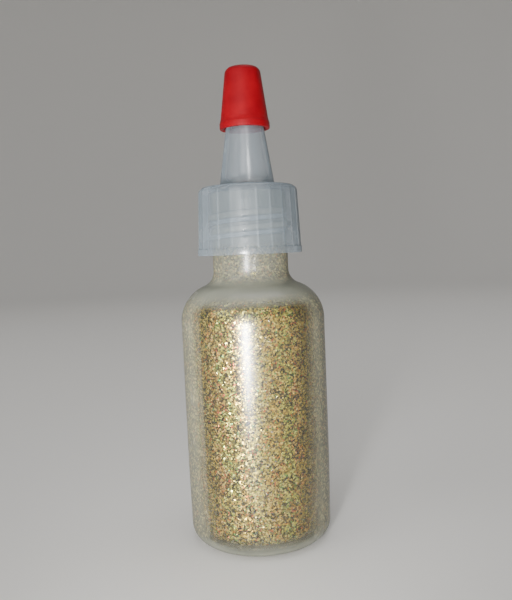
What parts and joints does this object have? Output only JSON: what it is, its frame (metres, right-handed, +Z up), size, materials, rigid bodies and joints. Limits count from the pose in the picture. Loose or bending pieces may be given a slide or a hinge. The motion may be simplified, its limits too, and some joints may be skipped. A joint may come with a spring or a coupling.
{
  "type": "squeeze bottle with spout cap",
  "caption": "Small round natural-plastic squeeze bottle filled with gold glitter, with a ribbed screw-on spout cap and a red push-on tip cover.",
  "frame": {"origin": "middle of the circle that the bottle stands on, at table height", "axes": "+Z up along the bottle's axis, from the base to the spout"},
  "size_m": [0.0328, 0.0328, 0.1069],
  "materials": {
    "bottle_ldpe": "natural translucent blow-moulded LDPE, satin",
    "cap_ldpe": "natural translucent injection-moulded LDPE, satin",
    "red_plastic": "moulded red polyethylene, semi-gloss",
    "glitter": "holographic gold film flakes"
  },
  "bodies": {
    "bottle": {"bottle": "bottle_ldpe", "glitter_fill": "glitter"},
    "flakes": {"clinging_flakes": "glitter"},
    "cap": {"spout_cap": "cap_ldpe"},
    "tip": {"tip_cover": "red_plastic"}
  },
  "joints": [
    {"name": "cap_turn", "type": "hinge", "parent": "bottle", "child": "flakes", "pos_m": [0, 0, 0.0725], "axis": [0, 0, 1], "range_deg": [0, 540]},
    {"name": "cap_rise", "type": "slide", "parent": "flakes", "child": "cap", "axis": [0, 0, 1], "range_m": [0, 0.0048]},
    {"name": "tip_pull", "type": "slide", "parent": "cap", "child": "tip", "axis": [0, 0, 1], "range_m": [0, 0.016]}
  ],
  "couplings": [
    {"joint": "cap_rise", "follows": "cap_turn", "m_per_rad": 0.00050532}
  ]
}
